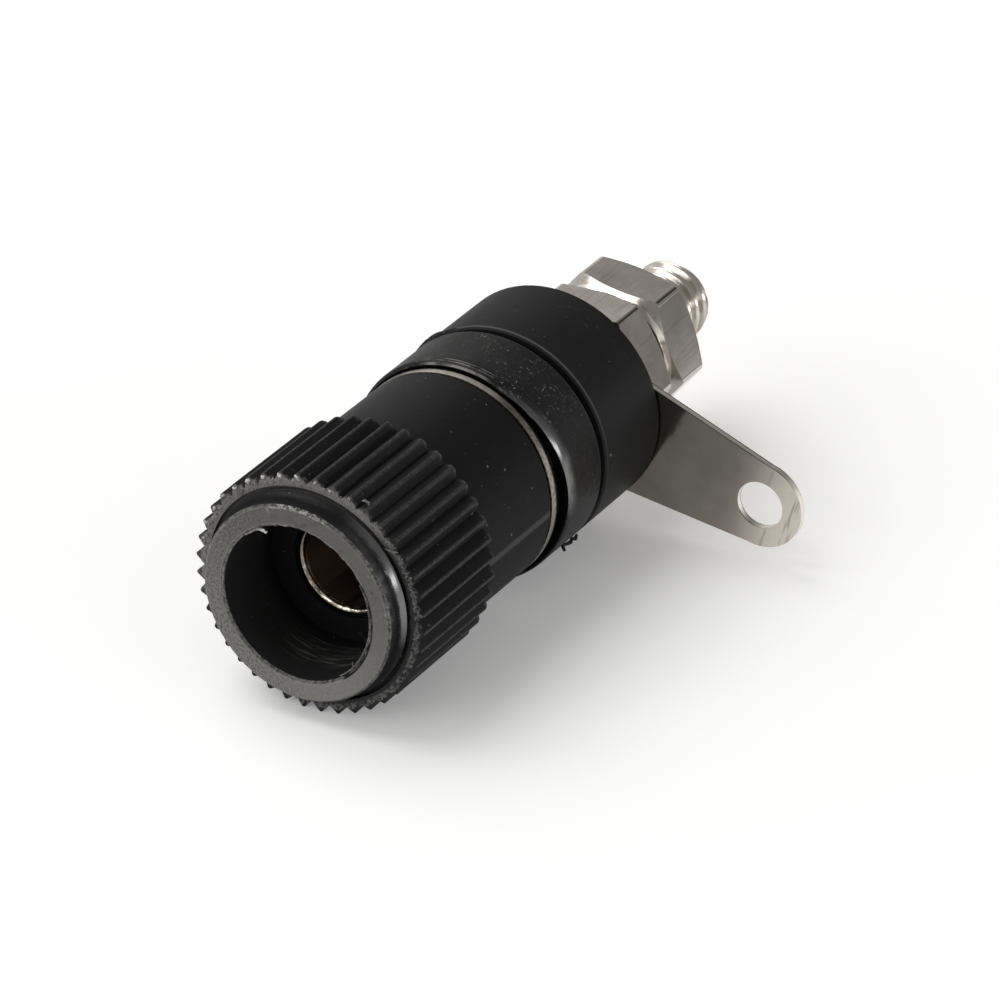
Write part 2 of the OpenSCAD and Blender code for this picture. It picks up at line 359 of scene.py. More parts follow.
def bump(tree, height, strength, distance_mm, under=None):
    """Normal for a height. under is the normal of a broader form beneath it."""
    inputs = {"Strength": strength, "Distance": distance_mm * MM, "Height": height}
    if under:
        inputs["Normal"] = under
    return add(tree, "ShaderNodeBump", inputs).outputs[0]


# Black plastic: its tints from the darkest to the palest
GAP_SHADE_BLACK = (0.003, 0.003, 0.003, 1)
DEEP_SHADE_BLACK = (0.004, 0.004, 0.004, 1)
PAINTED_SHADE_BLACK = (0.0042, 0.0042, 0.0044, 1)
SEAM_BLACK = (0.006, 0.006, 0.006, 1)
BLACK = (0.0075, 0.0075, 0.0079, 1)
LIP_BLACK = (0.010, 0.010, 0.011, 1)
CLOUDY_BLACK = (0.0110, 0.0110, 0.0113, 1)
FLANK_BLACK = (0.012, 0.012, 0.0122, 1)
RECESS_BLACK = (0.018, 0.018, 0.018, 1)
WORN_BLACK = (0.030, 0.030, 0.030, 1)
PARTING_GREY = (0.032, 0.032, 0.031, 1)
CREST_GREY = (0.045, 0.045, 0.044, 1)
RIB_END_GREY = (0.055, 0.055, 0.054, 1)
BUSHING_SCRATCH = (0.07, 0.07, 0.068, 1)
COLLAR_SCRATCH = (0.075, 0.074, 0.071, 1)
BUSHING_EDGE = (0.075, 0.075, 0.073, 1)
GROOVE_GREY = (0.10, 0.099, 0.095, 1)
SHADED_CHALK_GREY = (0.120, 0.118, 0.111, 1)
SWIRL_GREY = (0.12, 0.118, 0.112, 1)
NICK_GREY = (0.15, 0.148, 0.14, 1)
RIM_GREY = (0.17, 0.168, 0.16, 1)
SHOULDER_GREY = (0.19, 0.187, 0.179, 1)
TORN_GREY = (0.20, 0.197, 0.19, 1)
MOUTH_EDGE_GREY = (0.20, 0.198, 0.19, 1)
LIT_CHALK_GREY = (0.205, 0.201, 0.190, 1)
PALE_DUST = (0.22, 0.21, 0.20, 1)
FRESH_TEAR = (0.30, 0.295, 0.28, 1)


def finish_plastic(tree, shader, place, layers, gloss, dust, scuffs, grain, painted_shade=None):
    """Lays layers of wear and of painted light and shade over black plastic and returns the height of its
    skin.

    A layer is a mask, a colour and a roughness. dust is cells a millimetre, share and size,
    scuffs is the reach and the colour of the scratches, and the last mask says where shade is painted black
    in a gap."""
    point = place["Millimetres"]
    wear = use(tree, SCUFFS, Millimetres=point, Reach=scuffs[0])
    skin = use(tree, GRAIN, Millimetres=point, Scale=grain)
    specks = use(tree, DUST, Millimetres=point, Cells=dust[0], Share=dust[1], Size=dust[2])["Specks"]
    colour = blend_colour(tree, wear["Clouds"], BLACK, CLOUDY_BLACK)
    rough = maths(tree, "MULTIPLY_ADD", wear["Clouds"], 0.12, gloss - 0.06)
    for mask, tint, tint_rough in layers:
        colour = blend_colour(tree, mask, colour, tint)
        rough = blend_value(tree, mask, rough, tint_rough)
    colour = blend_colour(tree, product(tree, wear["Scratches"], 0.7), colour, scuffs[1])
    colour = blend_colour(tree, specks, colour, PALE_DUST)
    # painted shade: a gap's mask paints it black
    if painted_shade:
        colour = blend_colour(tree, painted_shade, colour, GAP_SHADE_BLACK)
    tree.links.new(colour, shader.inputs["Base Color"])
    tree.links.new(maths(tree, "MULTIPLY_ADD", specks, 0.3, rough), shader.inputs["Roughness"])
    shader.inputs["Specular IOR Level"].default_value = 0.14
    height = maths(tree, "MULTIPLY_ADD", wear["Scratches"], -0.6, skin["Height"])
    return maths(tree, "MULTIPLY_ADD", specks, 1.5, height)


def add_gloss(tree, shader, weight):
    """Coat of polished plastic where the weight is 1."""
    tree.links.new(weight, shader.inputs["Coat Weight"])
    shader.inputs["Coat Roughness"].default_value = 0.22
    shader.inputs["Coat IOR"].default_value = 2.3


def barrel_layers(tree, place):
    """Smooth barrel: darker on the right as painted shade, with a rubbed back edge. Also returns its parting
    line.
    """
    radius, along, clock = place["Radius"], place["Along"], place["Clock"]
    barrel = product(
        tree,
        near(tree, radius, BARREL_R, 0.03, 0.02),
        ease(tree, along, GRIP_BACK_Y, GRIP_BACK_Y + 0.3),
    )
    # painted shade: the barrel's right side is darkened
    right_painted_shade = product(tree, barrel, ease(tree, facing(tree, clock, 10.0), 0.0, 0.9))
    back_edge = product(
        tree,
        near(tree, along, CAP_BACK_Y, 0.1, 0.05),
        ease(tree, radius, BARREL_R - 0.16, BARREL_R - 0.1),
    )
    across_parting = maths(tree, "ABSOLUTE", facing(tree, clock, -2.5))
    parting = product(tree, ease(tree, across_parting, 0.9991, 1.0), barrel)
    layers = [
        (right_painted_shade, PAINTED_SHADE_BLACK, 0.6),
        (product(tree, back_edge, 0.6), WORN_BLACK, 0.45),
        (product(tree, parting, 0.9), PARTING_GREY, 0.4),
    ]
    return layers, parting


def recess_layers(tree, place):
    """Recess: darker towards its bottom as painted shade, with pale tool swirls low down."""
    along = place["Along"]
    inside = ease(tree, place["Radius"], RECESS_R + 0.05, RECESS_R + 0.02)
    # painted shade: the recess darkens towards its bottom
    painted_deep_shade = product(tree, inside, ease(tree, along, NOSE_Y - 1.2, NOSE_Y - 0.1))
    swirls = product(
        tree,
        inside,
        ease(tree, stretched_noise(tree, place["Millimetres"], (0.5, 9.0, 0.5), 1.5), 0.5, 0.65),
        ease(tree, facing(tree, place["Clock"], -85.0), 0.75, 0.98),
        near(tree, along, NOSE_Y - 1.6, 0.5, 0.8),
    )
    return [(inside, RECESS_BLACK, 0.45), (painted_deep_shade, DEEP_SHADE_BLACK, 0.6), (swirls, SWIRL_GREY, 0.4)]


def lip_layers(tree, place, mottle, pits):
    """Lip: chalky pitted face with painted light low down, torn edges with a painted highlight along the top
    of the rim, and a loose seam. Also returns its face and its side.
    """
    radius, along, clock = place["Radius"], place["Along"], place["Clock"]
    face = ease(tree, along, MOUTH_Y + 0.05, MOUTH_Y + 0.01)
    bevels = near(tree, along, MOUTH_Y + 0.06, 0.07, 0.03)
    mouth_edge = product(tree, bevels, near(tree, radius, RECESS_R + 0.06, 0.08, 0.03))
    loose_edge = product(tree, mouth_edge, ease(tree, facing(tree, clock, -12.0), 0.73, 0.8))
    # pale outer rim edge: partly wear and partly a painted highlight on the bevel
    rim_wear_and_highlight = product(tree, bevels, near(tree, radius, LIP_R - 0.06, 0.08, 0.03))
    # painted highlight along the top of the rim
    rim_top_painted_highlight = product(
        tree,
        rim_wear_and_highlight,
        ease(tree, facing(tree, clock, 88.0), 0.93, 0.98),
        ease(tree, mottle, 0.45, 0.58),
    )
    side = product(
        tree,
        ease(tree, along, MOUTH_Y + 0.08, MOUTH_Y + 0.16),
        near(tree, radius, (LIP_R + LIP_ROOT_R) / 2, 0.12, 0.03),
    )
    weld = product(
        tree,
        face,
        ease(tree, facing(tree, clock, 107.5), 0.99988, 0.99998),
        ease(tree, radius, RECESS_R + 0.3, LIP_R),
        ease(tree, pits, 0.0, 1.0, 0.7, 0.2),
    )
    face_pits = product(tree, face, pits, ease(tree, facing(tree, clock, 190.0), -0.3, 0.7, 0.1, 0.6))
    # painted light: the chalky face is lighter low down and darker on top
    painted_bounce_light = ease(tree, facing(tree, clock, -115.0), -0.9, 0.9)
    chalk_and_painted_light = blend_colour(tree, painted_bounce_light, SHADED_CHALK_GREY, LIT_CHALK_GREY)
    layers = [
        (side, LIP_BLACK, 0.4),
        (product(tree, face, ease(tree, mottle, 0.2, 0.8, 0.75, 1.0)), chalk_and_painted_light, 0.55),
        (face_pits, WORN_BLACK, 0.5),
        (weld, FRESH_TEAR, 0.5),
        (product(tree, mouth_edge, ease(tree, mottle, 0.35, 0.65, 0.15, 0.9)), MOUTH_EDGE_GREY, 0.5),
        (product(tree, rim_wear_and_highlight, ease(tree, mottle, 0.35, 0.7, 0.1, 0.9)), RIM_GREY, 0.5),
        (loose_edge, SEAM_BLACK, 0.6),
        (rim_top_painted_highlight, FRESH_TEAR, 0.4),
    ]
    return layers, face, side


def grip_layers(tree, place, mottle, pits):
    """Grip: crests paler by rubbing and a painted highlight, rubbed rib ends, and a chalky, torn shoulder,
    with painted light on the upper left and painted shade on the right rib fronts. Also returns the
    shoulder.
    """
    radius, along = place["Radius"], place["Along"]
    # painted light: pale marks here and on torn flash are stronger on the upper left, where light falls
    lit_upper_left = ease(tree, facing(tree, place["Clock"], UPPER_LEFT_CLOCK), -0.2, 0.9)
    flanks = product(
        tree,
        ease(tree, radius, GRIP_R - 0.06, GRIP_R - 0.16),
        ease(tree, radius, BARREL_R + 0.04, BARREL_R + 0.1),
    )
    # paler crests: rubbed wear and a painted highlight
    crest_wear_and_highlight = product(
        tree,
        ease(tree, radius, GRIP_R - 0.06, GRIP_R - 0.015),
        ease(tree, mottle, 0.35, 0.65, 0.3, 1.0),
    )
    rib_backs = product(
        tree,
        near(tree, along, GRIP_BACK_Y, 0.12, 0.12),
        ease(tree, radius, RIB_ROOT_R + 0.1, GRIP_R - 0.1),
    )
    groove = product(
        tree,
        near(tree, along, SHOULDER_Y + 0.18, 0.14, 0.03),
        near(tree, radius, (LIP_ROOT_R + LIP_GROOVE_R) / 2, 0.11, 0.02),
    )
    shoulder = product(
        tree,
        ease(tree, along, SHOULDER_Y + 0.04, SHOULDER_Y + 0.01),
        ease(tree, radius, LIP_GROOVE_R - 0.03, LIP_GROOVE_R + 0.03),
    )
    ragged_r = maths(tree, "MULTIPLY_ADD", mottle, 0.3, radius)
    rib_fronts = product(tree, shoulder, ease(tree, ragged_r, RIB_ROOT_R + 0.18, RIB_ROOT_R + 0.36))
    torn = product(
        tree,
        ease(tree, along, SHOULDER_Y + 0.30, SHOULDER_Y + 0.02),
        near(tree, radius, RIB_ROOT_R + 0.08, 0.08, 0.12),
        ease(tree, mottle, 0.42, 0.58),
    )
    # painted light and shade: the groove, shoulder and torn flash are lighter on the upper left, the rib
    # fronts darker on the right
    layers = [
        (flanks, FLANK_BLACK, 0.7),
        (product(tree, crest_wear_and_highlight, 0.9), CREST_GREY, 0.5),
        (product(tree, rib_backs, 0.8), RIB_END_GREY, 0.5),
        (product(tree, groove, lit_upper_left), GROOVE_GREY, 0.6),
        (product(tree, shoulder, ease(tree, lit_upper_left, 0.0, 0.6, 0.06, 1.0)), SHOULDER_GREY, 0.6),
        (product(tree, shoulder, pits, 0.5), WORN_BLACK, 0.6),
        (product(tree, rib_fronts, ease(tree, lit_upper_left, 0.0, 1.0, 0.9, 0.6)), CLOUDY_BLACK, 0.6),
        (product(tree, torn, ease(tree, lit_upper_left, 0.0, 1.0, 0.6, 1.0)), TORN_GREY, 0.6),
    ]
    return layers, shoulder


def cap_plastic():
    """Thumb nut: smooth barrel, worn ribs, chalky shoulder and mouth, and a lip with a glossy side, with
    painted light and shade on each.
    """
    material, tree, shader, place = new_material("cap_plastic")
    mottle = even_noise(tree, place["Millimetres"], 6.0, 4.0, 0.65)
    pits = ease(tree, even_noise(tree, place["Millimetres"], 9.0, 3.0, 0.7), 0.44, 0.62)
    on_barrel, parting = barrel_layers(tree, place)
    on_lip, lip_face, lip_side = lip_layers(tree, place, mottle, pits)
    on_grip, shoulder = grip_layers(tree, place, mottle, pits)
    height = finish_plastic(
        tree,
        shader,
        place,
        on_barrel + recess_layers(tree, place) + on_lip + on_grip,
        gloss=0.54,
        dust=(2.3, 0.7, 0.15),
        scuffs=(0.5, WORN_BLACK),
        grain=9.0,
    )
    lit_side = ease(tree, facing(tree, place["Clock"], GLOSS_CLOCK), 0.72, 0.95)
    add_gloss(tree, shader, product(tree, lip_side, lit_side))
    chalky = maths(tree, "MAXIMUM", shoulder, lip_face)
    height = maths(tree, "MULTIPLY_ADD", product(tree, mottle, chalky), 2.2, height)
    height = maths(tree, "MULTIPLY_ADD", parting, 2.0, height)
    tree.links.new(bump(tree, height, 0.35, 0.02), shader.inputs["Normal"])
    return material


def collar_nicks(tree, place):
    """Short nicks in two directions, crowded on top of the collar."""
    point = place["Millimetres"]
    nicks = 0.0
    for turn, stretch in (((0.4, 0.9, 0.3), (2.0, 6.0, 2.2)), ((1.2, -0.5, 0.8), (6.5, 2.4, 2.0))):
        nick = ease(tree, stretched_noise(tree, point, stretch, 1.7, 2.0, 0.5, turn), 0.63, 0.74)
        nicks = maths(tree, "MAXIMUM", nicks, nick)
    crowding = ease(tree, even_noise(tree, point, 0.9, 2.0, 0.5), 0.38, 0.6)
    on_top = ease(tree, facing(tree, place["Clock"], 85.0), 0.3, 0.97, 0.1, 1.0)
    return product(tree, nicks, on_top, crowding)


def collar_rim_highlights(tree, place, behind):
    """Three broken painted highlight lines behind the collar's front rim, on top."""
    lines = 0.0
    for place_behind, half in ((0.05, 0.03), (0.27, 0.025), (0.46, 0.015)):
        lines = maths(tree, "MAXIMUM", lines, near(tree, behind, place_behind, half, 0.03))
    on_top = ease(tree, facing(tree, place["Clock"], 91.0), 0.93, 0.985)
    broken = ease(tree, even_noise(tree, place["Millimetres"], 1.6, 2.0, 0.5), 0.36, 0.56, 0.1, 1.0)
    return product(tree, lines, on_top, broken)


def collar_plastic():
    """Front bushing: crowned and glossy behind its gap, which is painted black as shade, with nicks and
    painted highlight lines on top.
    """
    material, tree, shader, place = new_material("collar_plastic")
    radius, along, clock = place["Radius"], place["Along"], place["Clock"]
    rightward = maths(tree, "MAXIMUM", facing(tree, clock, GAP_CLOCK), 0.0)
    breadth = maths(tree, "MAXIMUM", product(tree, rightward, rightward, GAP_SHADE_BREADTH), GAP_SHADE_LEAST)
    behind = maths(tree, "SUBTRACT", along, maths(tree, "ADD", breadth, COLLAR_FRONT_Y))
    # painted shade: the gap and the rim just behind it are painted black
    painted_gap_shade = product(
        tree,
        ease(tree, behind, 0.01, -0.01),
        ease(tree, radius, BARREL_R - 0.2, BARREL_R - 0.1),
    )
    rear_edge = product(
        tree,
        near(tree, along, SEAT_Y, 0.05, 0.04),
        ease(tree, radius, BUSHING_R - 0.06, BUSHING_R - 0.02),
    )
    nicks = collar_nicks(tree, place)
    layers = [
        (ease(tree, behind, 0.9, 0.3), BLACK, 0.3),
        (nicks, NICK_GREY, 0.4),
        (product(tree, rear_edge, 0.6), WORN_BLACK, 0.4),
        # painted highlights along the rim on top
        (product(tree, collar_rim_highlights(tree, place, behind), 0.9), PALE_DUST, 0.3),
        (painted_gap_shade, GAP_SHADE_BLACK, 0.8),
    ]
    height = finish_plastic(
        tree,
        shader,
        place,
        layers,
        gloss=0.5,
        dust=(2.6, 0.8, 0.16),
        scuffs=(0.62, COLLAR_SCRATCH),
        grain=7.0,
        painted_shade=painted_gap_shade,
    )
    # the painted shade is also metallic, so that it stays black
    tree.links.new(painted_gap_shade, shader.inputs["Metallic"])
    lit_side = ease(tree, facing(tree, clock, GLOSS_CLOCK), 0.75, 0.97)
    past_gap = product(tree, ease(tree, behind, 0.85, 0.05), ease(tree, behind, 0.0, 0.02))
    add_gloss(tree, shader, product(tree, past_gap, lit_side))
    crown = bump(tree, ease(tree, behind, -0.6, 0.8), 1.0, 0.15)
    height = maths(tree, "MULTIPLY_ADD", nicks, 1.2, height)
    tree.links.new(bump(tree, height, 0.3, 0.02, crown), shader.inputs["Normal"])
    return material


def bushing_plastic():
    """Rear bushing: plain satin black with a thin pale front edge on top and a few scratches."""
    material, tree, shader, place = new_material("bushing_plastic")
    front_edge = product(
        tree,
        near(tree, place["Along"], REAR_BUSHING_Y + 0.11, 0.03, 0.03),
        ease(tree, place["Radius"], BUSHING_R - 0.06, BUSHING_R - 0.03),
        ease(tree, facing(tree, place["Clock"], 90.0), -0.1, 0.9, 0.2, 1.0),
    )
    height = finish_plastic(
        tree,
        shader,
        place,
        [(product(tree, front_edge, 0.9), BUSHING_EDGE, 0.4)],
        gloss=0.54,
        dust=(2.0, 0.5, 0.13),
        scuffs=(0.5, BUSHING_SCRATCH),
        grain=9.0,
    )
    tree.links.new(bump(tree, height, 0.3, 0.02), shader.inputs["Normal"])
    return material


def flash_plastic(name, pale):
    """Torn mould flash: black where it is thick, paler where it is thin and ragged, paler still on the upper
    left as painted light, with painted glints on its free ends there.
    """
    material, tree, shader, place = new_material(name)
    mottle = even_noise(tree, place["Millimetres"], 8.0, 3.0, 0.6)
    radius, lit_upper_left = place["Radius"], facing(tree, place["Clock"], UPPER_LEFT_CLOCK)
    # painted light: the flash is paler on the upper left
    painted_light_share = ease(tree, lit_upper_left, -0.3, 0.7, 0.5, 1.0)
    spread = product(tree, ease(tree, mottle, 0.35, 0.65, 0.3, 1.0), painted_light_share)
    free_ends = maths(
        tree,
        "MAXIMUM",
        ease(tree, radius, RIB_ROOT_R + 0.06, RIB_ROOT_R + 0.2),
        ease(tree, radius, RECESS_R - 0.02, RECESS_R - 0.1),
    )
    # painted highlights: glints on the free ends, on the upper left
    painted_glints = product(tree, ease(tree, mottle, 0.4, 0.52), ease(tree, lit_upper_left, 0.5, 0.85), free_ends)
    brighter = [min(2 * share, 1.0) for share in pale]
    height = finish_plastic(
        tree,
        shader,
        place,
        [(spread, pale, 0.55), (painted_glints, brighter, 0.35)],
        gloss=0.5,
        dust=(3.0, 0.3, 0.1),
        scuffs=(0.5, WORN_BLACK),
        grain=14.0,
    )
    tree.links.new(bump(tree, height, 0.4, 0.02), shader.inputs["Normal"])
    return material


# Metal: tints of its own wear, and of painted light and shade
TOOL_LINE_BROWN = (0.26, 0.235, 0.215, 1)
NUT_EDGE_HIGHLIGHT = (0.97, 0.94, 0.88, 1)
GOLDEN_EDGE_HIGHLIGHT = (0.95, 0.84, 0.60, 1)
JOINT_SHADE_BLACK = (0.02, 0.017, 0.014, 1)
WASHER_RIGHT_SHADE = (0.30, 0.275, 0.25, 1)
WASHER_FLECK = (0.13, 0.115, 0.10, 1)
WASHER_EDGE_SHADE = (0.012, 0.011, 0.010, 1)
LUG_TIP_REFLECTION = (0.72, 0.67, 0.60, 1)
CREASE_BROWN = (0.30, 0.27, 0.24, 1)
SHEARED_EDGE = (0.82, 0.78, 0.71, 1)
RIM_PLATE = (0.74, 0.69, 0.61, 1)
RIM_TARNISH = (0.22, 0.18, 0.14, 1)
RIM_SHADE = (0.16, 0.13, 0.10, 1)
SOCKET_BROWN = (0.12, 0.085, 0.06, 1)


def metal(name, tint, shade, rough, lines, line_scale, bump_strength, marks=None, form=None):
    """Plated metal with fine lines. lines stretches the noise so that they run one way.

    marks adds this piece's own wear and painted light and shade, and form gives the normal of a broad bend
    beneath it."""
    material, tree, shader, place = new_material(name)
    point = place["Millimetres"]
    brush = stretched_noise(tree, point, lines, line_scale, 3.0, 0.6)
    cloud = even_noise(tree, point, 0.7, 3.0, 0.55)
    colour = blend_colour(tree, ease(tree, cloud, 0.3, 0.7), tint, shade)
    colour = blend_colour(tree, product(tree, ease(tree, brush, 0.5, 0.75), 0.35), colour, shade)
    roughness = maths(tree, "MULTIPLY_ADD", brush, 0.12, rough - 0.06)
    height = brush
    shader.inputs["Metallic"].default_value = 1.0
    if marks:
        colour, roughness, height = marks(tree, place, colour, roughness, height)
    tree.links.new(colour, shader.inputs["Base Color"])
    tree.links.new(roughness, shader.inputs["Roughness"])
    under = form(tree, place) if form else None
    tree.links.new(bump(tree, height, bump_strength, 0.01, under), shader.inputs["Normal"])
    return material


def nut_marks(tree, place, colour, roughness, height):
    """Tool lines along the axis, painted highlights on the edges on either side of the joint of the two
    nuts, and painted shade in the joint.
    """
    along = place["Along"]
    lines = stretched_noise(tree, place["Millimetres"], (4.0, 0.2, 4.0), 1.3, 2.0, 0.6)
    lines = ease(tree, lines, 0.56, 0.68)
    # painted highlights on the nuts' edges and painted shade in their joint
    front_edge = near(tree, along, LOCK_NUT_Y + 0.23, 0.06, 0.03)
    back_edge = near(tree, along, LOCK_NUT_Y - 0.22, 0.05, 0.03)
    joint_shade = near(tree, along, LOCK_NUT_Y + 0.05, 0.10, 0.02)
    colour = blend_colour(tree, product(tree, lines, 0.28), colour, TOOL_LINE_BROWN)
    colour = blend_colour(tree, product(tree, front_edge, 0.9), colour, NUT_EDGE_HIGHLIGHT)
    colour = blend_colour(tree, product(tree, back_edge, 0.9), colour, GOLDEN_EDGE_HIGHLIGHT)
    colour = blend_colour(tree, product(tree, joint_shade, 0.97), colour, JOINT_SHADE_BLACK)
    roughness = maths(tree, "MULTIPLY_ADD", joint_shade, 0.3, roughness)
    height = maths(tree, "MULTIPLY_ADD", lines, -0.6, height)
    return colour, roughness, height


def washer_marks(tree, place, colour, roughness, height):
    """Painted shade on the right side of the clamp washer, fine flecks, and a back edge painted dark as
    shade by the gap.
    """
    along, clock = place["Along"], place["Clock"]
    flecks = stretched_noise(tree, place["Millimetres"], (1.5, 5.0, 1.5), 3.0, 3.0, 0.65)
    # painted shade: the washer's right side is darkened
    right = ease(tree, facing(tree, clock, 0.0), 0.2, 0.95)
    flecks = product(tree, ease(tree, flecks, 0.46, 0.62), ease(tree, right, 0.0, 1.0, 0.3, 0.9))
    # painted shade: the back edge of the rim is darkened beside the gap
    back_edge = product(
        tree,
        near(tree, along, WASHER_BACK_Y, 0.09, 0.03),
        ease(tree, place["Radius"], BARREL_R - 0.03, BARREL_R - 0.01),
    )
    colour = blend_colour(tree, product(tree, right, 0.8), colour, WASHER_RIGHT_SHADE)
    colour = blend_colour(tree, flecks, colour, WASHER_FLECK)
    colour = blend_colour(tree, back_edge, colour, WASHER_EDGE_SHADE)
    height = maths(tree, "MULTIPLY_ADD", flecks, -1.0, height)
    return colour, roughness, height


def along_lug(tree, place):
    """Point with X along the lug, and its distance from the axis on that line, in millimetres."""
    turned = add(
        tree,
        "ShaderNodeMapping",
        {"Vector": place["Millimetres"], "Rotation": (0, math.radians(LUG_ANGLE), 0)},
    ).outputs[0]
    return turned, add(tree, "ShaderNodeSeparateXYZ", {0: turned}).outputs[0]


def lug_bend(tree, place):
    """Normal of a tag that is bent a little away from the bushing."""
    slope = 0.085
    reach = along_lug(tree, place)[1]
    return bump(tree, maths(tree, "MULTIPLY", reach, -1.0), 1.0, slope)


def lug_marks(tree, place, colour, roughness, height):
    """Creases near the tip, a brighter tip as a painted reflection of the lighter floor, and bright sheared
    edges.
    """
    turned, reach = along_lug(tree, place)
    edge = near(tree, place["Along"], (LUG_FRONT_Y + LUG_BACK_Y) / 2, 0.10, 0.04)
    tip = ease(tree, reach, LUG_REACH - 1.6, LUG_REACH + 1.4)
    crease = stretched_noise(tree, turned, (3.2, 1.0, 0.35), 1.4, 2.0, 0.5, (0, 0.5, 0))
    crease = product(tree, ease(tree, crease, 0.58, 0.7), tip)
    # painted reflection: the tip is made brighter
    colour = blend_colour(tree, product(tree, tip, 0.9), colour, LUG_TIP_REFLECTION)
    colour = blend_colour(tree, product(tree, crease, 0.6), colour, CREASE_BROWN)
    colour = blend_colour(tree, edge, colour, SHEARED_EDGE)
    roughness = maths(tree, "MULTIPLY_ADD", tip, 0.2, roughness)
    roughness = blend_value(tree, edge, roughness, 0.4)
    height = maths(tree, "MULTIPLY_ADD", crease, -2.5, height)
    return colour, roughness, height


def socket_marks(tree, place, colour, roughness, height):
    """Bright rim with painted shade on its upper side, and brown tarnish inside the post's socket."""
    radius, along = place["Radius"], place["Along"]
    rim = ease(tree, along, NOSE_Y + 0.25, NOSE_Y + 0.12)
    # painted shade: the rim is darker away from its lower side
    rim_lit_below = ease(tree, facing(tree, place["Clock"], -70.0), -0.5, 0.7)
    patches = ease(tree, even_noise(tree, place["Millimetres"], 4.0, 3.0, 0.6), 0.4, 0.6)
    plate = blend_colour(tree, patches, RIM_PLATE, RIM_TARNISH)
    plate = blend_colour(tree, rim_lit_below, RIM_SHADE, plate)
    inside = product(
        tree,
        ease(tree, radius, SOCKET_R + 0.05, SOCKET_R + 0.01),
        ease(tree, along, -1.0, -2.0),
        ease(tree, along, NOSE_Y + 0.12, NOSE_Y + 0.25),
    )
    colour = blend_colour(tree, rim, colour, plate)
    colour = blend_colour(tree, product(tree, inside, 0.95), colour, SOCKET_BROWN)
    roughness = blend_value(tree, rim, roughness, 0.11)
    roughness = maths(tree, "MULTIPLY_ADD", inside, 0.25, roughness)
    return colour, roughness, height


# Geometry
ROUND_STEPS = 96


def link_mesh(name, bm):
    mesh = bpy.data.meshes.new(name)
    bm.to_mesh(mesh)
    bm.free()
    piece = bpy.data.objects.new(name, mesh)
    scene.collection.objects.link(piece)
    return piece


def smooth(piece, degrees):
    mesh = piece.data
    mesh.polygons.foreach_set("use_smooth", [True] * len(mesh.polygons))
    mesh.set_sharp_from_angle(angle=math.radians(degrees))


def dress(piece, material):
    piece.data.materials.clear()
    piece.data.materials.append(material)


def carry(piece, body, material):
    """Hangs a new piece on a body and gives it its finish."""
    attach(piece, body)
    dress(piece, material)


def on_axis(clock, radius, along):
    """Point at a clock angle, radius and place along the axis, in millimetres."""
    a = math.radians(clock)
    return Vector((radius * math.cos(a), along, radius * math.sin(a)))


def merged_copy(node):
    """Mesh of a CAD node with its loose triangles joined."""
    bm = bmesh.new()
    bm.from_mesh(nodes[node].data)
    bmesh.ops.remove_doubles(bm, verts=bm.verts, dist=1e-7)
    return bm


def closed_outline(bm, outline):
    """Closed loop through points of radius and Y, in millimetres, ready to spin round the axis."""
    loop = [bm.verts.new((r * MM, y * MM, 0)) for r, y in outline]
    edges = [bm.edges.new((loop[i - 1], loop[i])) for i in range(len(loop))]
    return loop + edges


def groove_cutter(name, outer_r, depth, pitch, start_y, end_y):
    """Helical groove that cuts a rolled right-hand thread, round in crest and root, into a bar along Y."""
    steps_a_turn, slots = 48, 12
    half = 0.47 * pitch
    crest_clear = 0.005
    rim_r = outer_r + 0.3 * depth
    outline = [(rim_r, start_y + half), (rim_r, start_y - half)]
    for slot in range(slots + 1):
        y = half * (2 * slot / slots - 1)
        fall = depth * (1 + math.cos(2 * math.pi * y / pitch)) / 2
        outline.append((outer_r + crest_clear - fall, start_y + y))
    turns = (end_y - start_y) / pitch
    steps = round(turns * steps_a_turn)
    bm = bmesh.new()
    bmesh.ops.spin(
        bm,
        geom=closed_outline(bm, outline),
        cent=(0, 0, 0),
        axis=(0, -1, 0),
        dvec=(0, (end_y - start_y) * MM / steps, 0),
        angle=2 * math.pi * turns,
        steps=steps,
        use_merge=False,
    )
    bmesh.ops.holes_fill(bm, edges=[e for e in bm.edges if e.is_boundary], sides=0)
    bmesh.ops.recalc_face_normals(bm, faces=bm.faces)
    return link_mesh(name, bm)


def dish_cutter(name, front_y, front_r, depth, back_r):
    """Shallow cone that dishes the rim of a bore whose mouth faces -Y."""
    bm = bmesh.new()
    middle = Matrix.Translation((0, (front_y + depth / 2) * MM, 0))
    lie_down = Matrix.Rotation(math.radians(-90), 4, "X")
    bmesh.ops.create_cone(
        bm,
        cap_ends=True,
        segments=ROUND_STEPS,
        radius1=front_r * MM,
        radius2=back_r * MM,
        depth=depth * MM,
        matrix=middle @ lie_down,
    )
    return link_mesh(name, bm)


def neck_cutter(name, inner_r, outer_r, front_y, back_y):
    """Ring that turns a plain neck into a bar along Y."""
    outline = ((inner_r, front_y), (outer_r, front_y), (outer_r, back_y), (inner_r, back_y))
    bm = bmesh.new()
    bmesh.ops.spin(
        bm,
        geom=closed_outline(bm, outline),
        cent=(0, 0, 0),
        axis=(0, 1, 0),
        angle=2 * math.pi,
        steps=ROUND_STEPS,
        use_merge=True,
    )
    bmesh.ops.recalc_face_normals(bm, faces=bm.faces)
    return link_mesh(name, bm)


def cut_away(piece, cutter):
    """Cuts one mesh from another for good, and removes the cutter."""
    modifier = piece.modifiers.new("cut", "BOOLEAN")
    modifier.operation = "DIFFERENCE"
    modifier.solver = "EXACT"
    modifier.object = cutter
    depsgraph = bpy.context.evaluated_depsgraph_get()
    mesh = bpy.data.meshes.new_from_object(piece.evaluated_get(depsgraph))
    piece.modifiers.clear()
    piece.data = mesh
    bpy.data.objects.remove(cutter)


